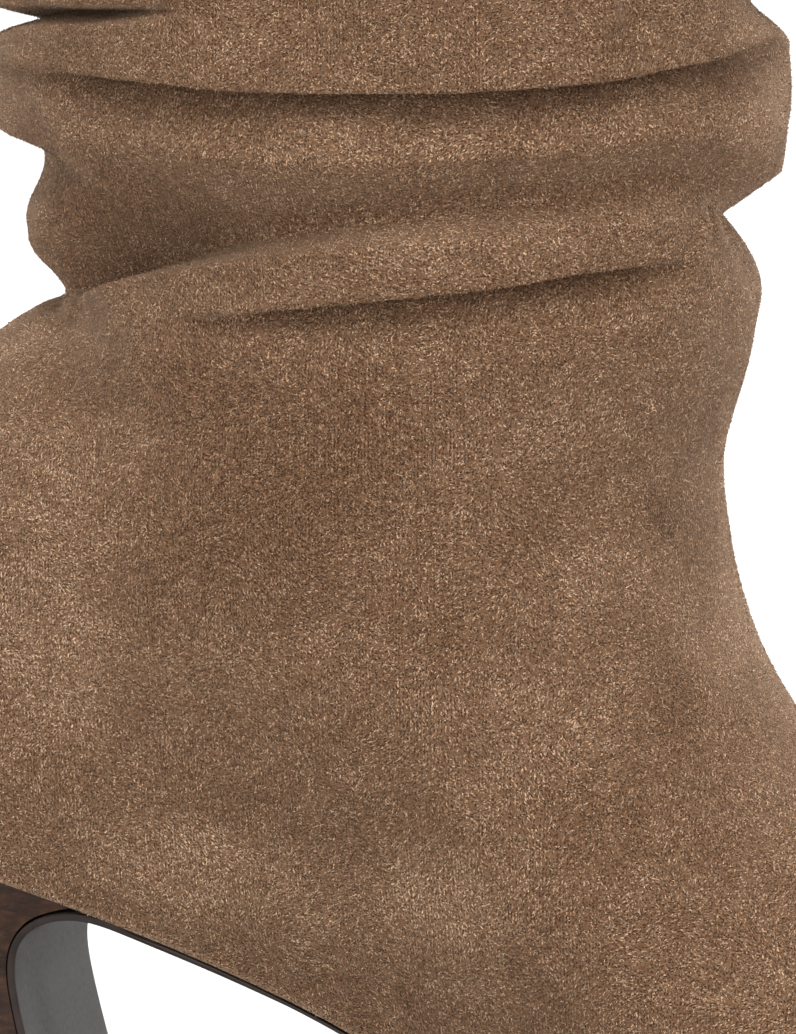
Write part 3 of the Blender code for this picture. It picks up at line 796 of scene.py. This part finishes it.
def skin_triangles(skin, nap):
    """Corners of the skin's triangles, and how likely each one is to carry a fibre of this nap."""
    mesh = skin.data
    mesh.calc_loop_triangles()
    corners = np.empty(len(mesh.loop_triangles) * 3, int)
    mesh.loop_triangles.foreach_get("vertices", corners)
    corners = corners.reshape(-1, 3)
    place = vertex_vectors(mesh, "co")
    a, b, c = place[corners[:, 0]], place[corners[:, 1]], place[corners[:, 2]]
    area = np.linalg.norm(np.cross(b - a, c - a), axis=1)
    middle_z = (a + b + c)[:, 2] / 3
    area[(middle_z < nap.low_z * MM) | (middle_z >= nap.high_z * MM)] = 0
    rise = np.empty(len(mesh.vertices))
    mesh.attributes["rise"].data.foreach_get("value", rise)
    low, high = PLAIN_EDGE
    area *= smooth_step((rise[corners].mean(axis=1) - low) / (high - low))
    return corners, area / area.sum()


def make_nap(nap, skin):
    """Short loose fibres over a stretch of the skin, as one mesh of slivers."""
    chance = np.random.default_rng(nap.seed)
    corners, likely = skin_triangles(skin, nap)
    chosen = corners[chance.choice(len(corners), nap.count, p=likely)]
    share = np.sort(chance.random((nap.count, 2)), axis=1)
    weights = np.stack([share[:, 0], share[:, 1] - share[:, 0], 1 - share[:, 1]], axis=1)[:, :, None]
    root = (vertex_vectors(skin.data, "co")[chosen] * weights).sum(axis=1)
    normal = unit((vertex_vectors(skin.data, "normal")[chosen] * weights).sum(axis=1))
    heading = chance.normal(size=(nap.count, 3)) - (0, 0, FIBRE_DROOP)
    heading = unit(heading - normal * np.sum(heading * normal, axis=1)[:, None])
    lift = np.radians(chance.uniform(*FIBRE_LIFT, nap.count))[:, None]
    length = chance.uniform(*FIBRE_LENGTH, nap.count)[:, None] * MM
    stray = chance.random(nap.count)[:, None] < STRAY_SHARE
    length = np.where(stray, length * STRAY_STRETCH, length)
    width = chance.uniform(*FIBRE_WIDTH, nap.count)[:, None] * MM
    width = np.where(stray, width / STRAY_THIN, width)
    side = np.cross(normal, heading) * width / 2
    tip = root + (heading * np.cos(lift) + normal * np.sin(lift)) * length
    points = np.stack([root + side, root - side, tip], axis=1).reshape(-1, 3)
    slivers = np.arange(3 * nap.count).reshape(-1, 3)
    made = bpy.data.meshes.new(nap.name)
    made.from_pydata(points, [], slivers)
    made.normals_split_custom_set_from_vertices(np.repeat(normal, 3, axis=0))
    store(made, "tone", np.repeat(chance.random(nap.count) ** DARK_LEANING, 3))
    # the patches: brushed nap with painted shade and painted light
    store(made, "nap_and_painted_light", np.repeat(nap_and_painted_light(root), 3))
    piece = bpy.data.objects.new(nap.name, made)
    bpy.context.scene.collection.objects.link(piece)
    return piece


def refined_copy(node, name, bevel, levels, front_grow=0.0):
    """A smooth copy of a CAD node: welded, its edges broken by a small bevel, then subdivided.

    The faces that look forward may grow a little, to close a seam.
    """
    piece = bpy.data.objects.new(name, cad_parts[node].data.copy())
    piece.data.name = name
    piece.data.materials.clear()
    bpy.context.scene.collection.objects.link(piece)
    edit_all(piece)
    bpy.ops.mesh.remove_doubles(threshold=SOLID_WELD)
    bpy.ops.mesh.tris_convert_to_quads(face_threshold=QUAD_BEND, shape_threshold=QUAD_SKEW)
    bpy.ops.mesh.normals_make_consistent(inside=False)
    bpy.ops.object.mode_set(mode="OBJECT")
    in_front = {v for face in piece.data.polygons if face.normal.x > FORWARD for v in face.vertices}
    for v in in_front:
        piece.data.vertices[v].co.x += front_grow * MM
    broken = piece.modifiers.new("bevel", "BEVEL")
    broken.width = bevel * MM
    broken.segments = 2
    broken.limit_method = "ANGLE"
    broken.angle_limit = BROKEN_EDGE
    smooth = piece.modifiers.new("smooth", "SUBSURF")
    smooth.levels = levels
    smooth.render_levels = levels
    smooth.boundary_smooth = "PRESERVE_CORNERS"
    apply_modifiers(piece)
    bpy.ops.object.shade_smooth_by_angle(angle=SHARP_EDGE)
    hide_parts(node)
    return piece


def put(tree, kind, inputs=None, **settings):
    """A shader node with its settings, and its inputs given as values or as other nodes' outputs."""
    node = tree.nodes.new(kind)
    for key, value in settings.items():
        setattr(node, key, value)
    for key, value in (inputs or {}).items():
        if isinstance(value, bpy.types.NodeSocket):
            tree.links.new(value, node.inputs[key])
        else:
            node.inputs[key].default_value = value
    return node


def maths(tree, operation, a, b=0.0, clamp=False):
    return put(tree, "ShaderNodeMath", {0: a, 1: b}, operation=operation, use_clamp=clamp).outputs[0]


def vectors(tree, operation, a, b=(0, 0, 0)):
    node = put(tree, "ShaderNodeVectorMath", {0: a, 1: b}, operation=operation)
    return node.outputs["Value"] if operation == "DOT_PRODUCT" else node.outputs[0]


def stretch(tree, value, low, high, to_low=0.0, to_high=1.0, smooth=True):
    """A value's range from low to high, stretched to another range and held at its ends."""
    kind = "SMOOTHSTEP" if smooth else "LINEAR"
    inputs = {"Value": value, "From Min": low, "From Max": high, "To Min": to_low, "To Max": to_high}
    return put(tree, "ShaderNodeMapRange", inputs, interpolation_type=kind).outputs[0]


def noise(tree, coords, scale, detail=2.0, roughness=0.5, distortion=0.0):
    inputs = {"Vector": coords, "Scale": scale, "Detail": detail, "Roughness": roughness}
    inputs["Distortion"] = distortion
    return put(tree, "ShaderNodeTexNoise", inputs).outputs[0]


def mix(tree, factor, a, b):
    return put(tree, "ShaderNodeMix", {0: factor, 6: a, 7: b}, data_type="RGBA").outputs[2]


def new_material(name, **values):
    """A material with its Principled shader's plain values set; returns it with its tree and shader."""
    material = bpy.data.materials.new(name)
    material.use_nodes = True
    tree = material.node_tree
    shader = tree.nodes["Principled BSDF"]
    for key, value in values.items():
        shader.inputs[key.replace("_", " ")].default_value = value
    return material, tree, shader


def object_coords(tree):
    return put(tree, "ShaderNodeTexCoord").outputs["Object"]


def add_bump(tree, shader, height, distance, strength):
    bump = put(tree, "ShaderNodeBump", {"Height": height, "Distance": distance, "Strength": strength})
    tree.links.new(bump.outputs[0], shader.inputs["Normal"])


def attribute(tree, name):
    return put(tree, "ShaderNodeAttribute", attribute_name=name).outputs["Fac"]


def nap_and_painted_light_patches(tree, coords):
    """0 where the nap lies dark or under painted shade, 1 where it is brushed light or under painted light.
    """
    cloud = stretch(tree, noise(tree, coords, 60.0, 4.0, 0.6, 0.8), 0.25, 0.75, 0.18, 0.62, False)
    return maths(tree, "ADD", cloud, attribute(tree, "nap_and_painted_light"), clamp=True)


def warp(tree, coords, scale, amount):
    """A small wandering of the coordinates, so that the fibres curl."""
    inputs = {"Vector": coords, "Scale": scale, "Detail": 1.0}
    drift = put(tree, "ShaderNodeTexNoise", inputs).outputs["Color"]
    centred = vectors(tree, "SUBTRACT", drift, (0.5, 0.5, 0.5))
    return vectors(tree, "MULTIPLY", centred, (amount, amount, amount))


def flecks(tree, coords, normal, combed, fleck):
    """Short fibres, or pits of painted shade between them, on the surface, one a cell and partly combed.

    Gives how strongly one shows, and its own shade.
    """
    moved = vectors(tree, "ADD", coords, fleck.start)
    cells = put(tree, "ShaderNodeTexVoronoi", {"Vector": moved, "Scale": fleck.cells})
    colour = cells.outputs["Color"]
    local = vectors(tree, "SUBTRACT", moved, cells.outputs["Position"])
    heading = vectors(tree, "ADD", vectors(tree, "SUBTRACT", colour, (0.5, 0.5, 0.5)), combed)
    heading = vectors(tree, "NORMALIZE", vectors(tree, "CROSS_PRODUCT", heading, normal))
    across = vectors(tree, "DOT_PRODUCT", local, vectors(tree, "CROSS_PRODUCT", heading, normal))
    along = vectors(tree, "DOT_PRODUCT", local, heading)
    width, length = fleck.width * MM, fleck.length * MM
    narrow = stretch(tree, maths(tree, "ABSOLUTE", across), width, width * 0.2)
    short = stretch(tree, maths(tree, "ABSOLUTE", along), length, length * 0.4)
    shade = put(tree, "ShaderNodeSeparateColor", {0: colour}).outputs[0]
    return maths(tree, "MULTIPLY", narrow, short), shade


def nap_material():
    """Loose fibres of the nap, each with its own tone, lighter where the nap is brushed light or painted
    light falls, darker under painted shade.
    """
    material, tree, shader = new_material(
        "nap",
        Roughness=0.9,
        Specular_IOR_Level=0.12,
        Sheen_Weight=0.12,
        Sheen_Roughness=0.45,
        Sheen_Tint=SHEEN,
    )
    # patches of brushed nap with painted shade and painted light
    nap_and_light_patch = maths(tree, "MULTIPLY", nap_and_painted_light_patches(tree, object_coords(tree)), 0.55)
    own = maths(tree, "MULTIPLY", attribute(tree, "tone"), 0.74)
    tone = maths(tree, "SUBTRACT", maths(tree, "ADD", own, nap_and_light_patch), 0.12, clamp=True)
    tree.links.new(mix(tree, tone, NAP_DARK, NAP_LIGHT), shader.inputs["Base Color"])
    return material


def suede_material():
    """The napped skin: a mottled ground with brushed patches, painted shade and painted light, lighter fibres
    and dark pits of painted shade between them, and a plain cut edge.
    """
    material, tree, shader = new_material(
        "suede",
        Roughness=0.95,
        Specular_IOR_Level=0.12,
        Sheen_Weight=0.27,
        Sheen_Roughness=0.45,
        Sheen_Tint=SHEEN,
    )
    coords = object_coords(tree)
    normal = put(tree, "ShaderNodeNewGeometry").outputs["Normal"]
    combed = warp(tree, coords, 90.0, 2.2)
    wandering = vectors(tree, "ADD", coords, warp(tree, coords, 1500.0, 0.07 * MM))
    fine, fine_shade = flecks(tree, wandering, normal, combed, FINE_FIBRES)
    longer, longer_shade = flecks(tree, wandering, normal, combed, LONGER_FIBRES)
    # pits: painted shade in the gaps between the fibres
    shade_pit, pit_shade = flecks(tree, wandering, normal, combed, PAINTED_SHADE_PITS)
    grain = noise(tree, coords, 3400.0, 2.0, 0.6)
    clump = stretch(tree, noise(tree, coords, 380.0, 3.0, 0.6), 0.3, 0.7, -0.20, 0.20, False)
    dense = stretch(tree, noise(tree, coords, 210.0, 2.0), 0.36, 0.60, 0.62, 1.0)

    napped = stretch(tree, attribute(tree, "rise"), *PLAIN_EDGE)
    # tone carries brushed nap with painted shade in the folds and painted light
    tone = maths(tree, "ADD", nap_and_painted_light_patches(tree, coords), clump, clamp=True)
    tone = maths(tree, "ADD", tone, maths(tree, "SUBTRACT", 1.0, napped), clamp=True)
    dense = maths(tree, "MULTIPLY", dense, stretch(tree, napped, 0.0, 1.0, 0.45, 1.0))
    ground = mix(tree, tone, GROUND_DARK, GROUND_LIGHT)
    ground = mix(tree, stretch(tree, grain, 0.3, 0.7), ground, GROUND_LIGHT)
    ground = mix(tree, napped, PLAIN, ground)
    fibre = mix(tree, tone, FIBRE_DARK, FIBRE_LIGHT)
    fine = maths(tree, "MULTIPLY", fine, maths(tree, "POWER", fine_shade, 3.0))
    longer = maths(tree, "MULTIPLY", longer, maths(tree, "POWER", longer_shade, 3.0))
    show = maths(tree, "MULTIPLY", maths(tree, "MAXIMUM", fine, longer), dense)
    # painted shade of the pits between the fibres
    painted_pit_shade = maths(tree, "MULTIPLY", shade_pit, stretch(tree, pit_shade, 0.2, 0.7))
    painted_pit_shade = maths(tree, "MULTIPLY", painted_pit_shade, 0.95)
    colour = mix(tree, painted_pit_shade, mix(tree, show, ground, fibre), PAINTED_PIT_SHADE)
    tree.links.new(colour, shader.inputs["Base Color"])
    height = maths(tree, "ADD", fine, maths(tree, "MULTIPLY", grain, 0.5))
    add_bump(tree, shader, height, 0.55 * MM, 1.0)
    return material


def leather_material(name, dark, light, roughness):
    """Smooth leather with a fine grain."""
    material, tree, shader = new_material(name, Roughness=roughness, Specular_IOR_Level=0.35)
    coords = object_coords(tree)
    cloud = stretch(tree, noise(tree, coords, 60.0, 4.0, 0.6), 0.3, 0.7)
    tree.links.new(mix(tree, cloud, dark, light), shader.inputs["Base Color"])
    cells = put(tree, "ShaderNodeTexVoronoi", {"Vector": coords, "Scale": 900.0}).outputs["Distance"]
    add_bump(tree, shader, cells, 0.2 * MM, 0.35)
    return material


def sole_face_material():
    """Burnished satin face of the sole, with a painted dark reflection band down the breast and a painted
    highlight above it.
    """
    material, tree, shader = new_material("sole_face", Specular_IOR_Level=0.06)
    coords = object_coords(tree)
    parts = put(tree, "ShaderNodeSeparateXYZ", {0: coords})
    across, height = parts.outputs["Y"], parts.outputs["Z"]
    streak = put(tree, "ShaderNodeMapping", {"Vector": coords, "Scale": (1, 1, 0.12)}).outputs[0]
    cloud = stretch(tree, noise(tree, streak, 90.0, 3.0, 0.6), 0.25, 0.75)
    satin = mix(tree, cloud, SATIN_DARK, SATIN_LIGHT)
    # painted highlight: the satin turns pale near the top
    painted_highlight = stretch(tree, height, HIGHLIGHT_FROM * MM, HIGHLIGHT_FULL * MM)
    satin = mix(tree, painted_highlight, satin, SATIN_PAINTED_HIGHLIGHT)
    # painted dark reflection band down the breast
    dark_reflection = maths(tree, "ABSOLUTE", maths(tree, "SUBTRACT", across, DARK_REFLECTION_Y * MM))
    dark_reflection = stretch(tree, dark_reflection, DARK_REFLECTION_REACH * MM, 0.0)
    below = stretch(tree, height, DARK_REFLECTION_TOP * MM, DARK_REFLECTION_FULL * MM)
    dark_reflection = maths(tree, "MULTIPLY", dark_reflection, below)
    tree.links.new(mix(tree, dark_reflection, satin, PAINTED_DARK_REFLECTION), shader.inputs["Base Color"])
    fine = noise(tree, coords, 1400.0, 3.0, 0.6)
    tree.links.new(stretch(tree, fine, 0.2, 0.8, 0.34, 0.46), shader.inputs["Roughness"])
    return material


def sole_edge_material():
    """Dark inked edge of the sole."""
    material, tree, shader = new_material("sole_edge", Specular_IOR_Level=0.30)
    cloud = stretch(tree, noise(tree, object_coords(tree), 220.0, 3.0, 0.6), 0.3, 0.7)
    tree.links.new(mix(tree, cloud, EDGE_DARK, EDGE_LIGHT), shader.inputs["Base Color"])
    tree.links.new(stretch(tree, cloud, 0, 1, 0.38, 0.52), shader.inputs["Roughness"])
    return material


def heel_stack_material():
    """Stained stack: thin layers with a streaky grain."""
    material, tree, shader = new_material("heel_stack", Specular_IOR_Level=0.22)
    coords = object_coords(tree)
    parts = put(tree, "ShaderNodeSeparateXYZ", {0: coords})
    slope = maths(tree, "MULTIPLY", parts.outputs["X"], STACK_SLOPE)
    layer = maths(tree, "MULTIPLY", maths(tree, "ADD", parts.outputs["Z"], slope), 1 / (STACK_LAYER * MM))
    seam = maths(tree, "ABSOLUTE", maths(tree, "SUBTRACT", maths(tree, "FRACT", layer), 0.5))
    line = stretch(tree, seam, 0.46, 0.5)
    whole = {"W": maths(tree, "FLOOR", layer)}
    shade = put(tree, "ShaderNodeTexWhiteNoise", whole, noise_dimensions="1D").outputs[0]
    grain_coords = put(tree, "ShaderNodeMapping", {"Vector": coords, "Scale": (1, 1, 3)}).outputs[0]
    grain = noise(tree, grain_coords, 520.0, 4.0, 0.75)
    mottle = noise(tree, coords, 170.0, 4.0, 0.62)
    factor = maths(tree, "MULTIPLY", shade, 0.35)
    factor = maths(tree, "ADD", factor, stretch(tree, grain, 0.35, 0.75, 0, 0.6))
    factor = maths(tree, "MULTIPLY", factor, stretch(tree, mottle, 0.3, 0.65, 0.25, 1.0), clamp=True)
    wood = mix(tree, factor, STACK_DARK, STACK_LIGHT)
    tree.links.new(mix(tree, line, wood, STACK_SEAM), shader.inputs["Base Color"])
    tree.links.new(stretch(tree, grain, 0.3, 0.7, 0.42, 0.6), shader.inputs["Roughness"])
    add_bump(tree, shader, grain, 0.1 * MM, 0.3)
    return material


def rubber_material():
    """Matt rubber of the wear lift."""
    material, tree, shader = new_material("lift_rubber", Roughness=0.7, Specular_IOR_Level=0.4)
    speck = stretch(tree, noise(tree, object_coords(tree), 700.0, 3.0, 0.6), 0.3, 0.7)
    tree.links.new(mix(tree, speck, RUBBER_DARK, RUBBER_LIGHT), shader.inputs["Base Color"])
    add_bump(tree, shader, speck, 0.15 * MM, 0.4)
    return material


def colour_sole(sole, face, edge):
    """Face and edge of the sole take their own finish, by which way each facet looks."""
    sole.data.materials.append(face)
    sole.data.materials.append(edge)
    for polygon in sole.data.polygons:
        in_flap = polygon.center.x / MM + ORIGIN_X < BREAST_END_X
        sideways = abs(polygon.normal.y) > FLAP_EDGE if in_flap else polygon.normal.z > -SOLE_FACE
        polygon.material_index = 1 if sideways else 0


def finish_piece(piece, material=None):
    if material:
        piece.data.materials.append(material)
    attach(piece, "root")


def make_boot():
    skin = make_upper_suede()
    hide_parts("upper")
    finish_piece(skin, suede_material())
    nap_finish = nap_material()
    for nap in NAPS:
        finish_piece(make_nap(nap, skin), nap_finish)
    lining_leather = leather_material("lining", LINING_DARK, LINING_LIGHT, 0.75)
    finish_piece(make_upper_lining(), lining_leather)
    insole = refined_copy("insole", "insole_cover", 0.6, 1)
    finish_piece(insole, leather_material("insole", INSOLE_DARK, INSOLE_LIGHT, 0.7))
    heel = refined_copy("heel", "heel_block", 0.35, 2, front_grow=0.27)
    finish_piece(heel, heel_stack_material())
    lift = refined_copy("heel_top_piece", "heel_lift", 0.3, 2)
    finish_piece(lift, rubber_material())
    sole = refined_copy("outsole", "sole", 0.2, 2)
    colour_sole(sole, sole_face_material(), sole_edge_material())
    finish_piece(sole)


def make_floor():
    deselect_all()
    bpy.ops.mesh.primitive_plane_add(size=FLOOR_SIZE, location=(0, 0, 0))
    floor = bpy.context.object
    floor.name = "floor"
    paper, tree, shader = new_material("paper", Roughness=0.9, Specular_IOR_Level=0.1)
    cloud = noise(tree, object_coords(tree), 3.0, 2.0)
    tree.links.new(mix(tree, cloud, PAPER_DARK, PAPER_LIGHT), shader.inputs["Base Color"])
    floor.data.materials.append(paper)


def make_sky():
    """A warm glow from all round, stronger from the side that the light comes from."""
    world = bpy.data.worlds.new("studio")
    bpy.context.scene.world = world
    world.use_nodes = True
    tree = world.node_tree
    background = tree.nodes["Background"]
    background.inputs["Color"].default_value = SKY
    sky = put(tree, "ShaderNodeTexCoord").outputs["Generated"]
    towards = vectors(tree, "DOT_PRODUCT", sky, SKY_BRIGHT_SIDE)
    tree.links.new(stretch(tree, towards, -0.9, 0.9, *SKY_STRENGTH), background.inputs["Strength"])


def make_lamps():
    for lamp in LAMPS:
        bpy.ops.object.light_add(type="AREA", location=lamp.place)
        light = bpy.context.object
        light.name = lamp.name
        light.data.size = lamp.size
        light.data.energy = lamp.power
        light.rotation_mode = "QUATERNION"
        light.rotation_quaternion = (lamp.aim - light.location).to_track_quat("-Z", "Y")


def make_camera():
    level, rise = np.cos(CAMERA_ELEVATION), np.sin(CAMERA_ELEVATION)
    away = Vector((np.sin(CAMERA_AZIMUTH) * level, -np.cos(CAMERA_AZIMUTH) * level, rise))
    bpy.ops.object.camera_add(location=TARGET + away * CAMERA_DISTANCE)
    camera = bpy.context.object
    camera.rotation_mode = "QUATERNION"
    camera.rotation_quaternion = (-away).to_track_quat("-Z", "Y")
    camera.data.sensor_width = SENSOR
    camera.data.lens = FOCAL_PIXELS * SENSOR / PIXELS_TALL
    camera.data.clip_start = 0.05
    camera.data.clip_end = 50
    bpy.context.scene.camera = camera
    bpy.context.scene.view_settings.view_transform = "Standard"


make_boot()
make_floor()
make_sky()
make_lamps()
make_camera()
